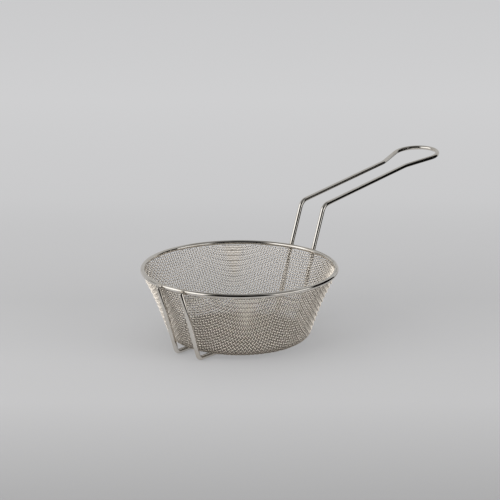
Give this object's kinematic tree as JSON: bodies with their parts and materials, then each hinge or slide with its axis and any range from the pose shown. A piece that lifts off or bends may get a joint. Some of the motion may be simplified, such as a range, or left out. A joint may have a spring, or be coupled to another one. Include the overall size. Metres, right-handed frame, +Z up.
{
  "type": "fine mesh basket",
  "caption": "Round frying and straining basket with a woven fine mesh bowl, a rim ring and a long wire handle that also frames the bowl.",
  "frame": {"origin": "centre of the bowl, on the surface that the frame's two bottom wires rest on", "axes": "+Z up out of the bowl, +X along the handle from the bowl to the grip, +Y to the left when looking along the handle"},
  "size_m": [0.4773, 0.215, 0.1604],
  "materials": {
    "rim_wire": "bright nickel plate on round steel wire",
    "mesh_cloth": "satin nickel plate on woven steel wire",
    "frame_wire": "bright nickel plate on round steel wire"
  },
  "bodies": {
    "root": {"rim_ring": "rim_wire", "mesh_bowl": "mesh_cloth", "handle_frame": "frame_wire"}
  },
  "joints": []
}
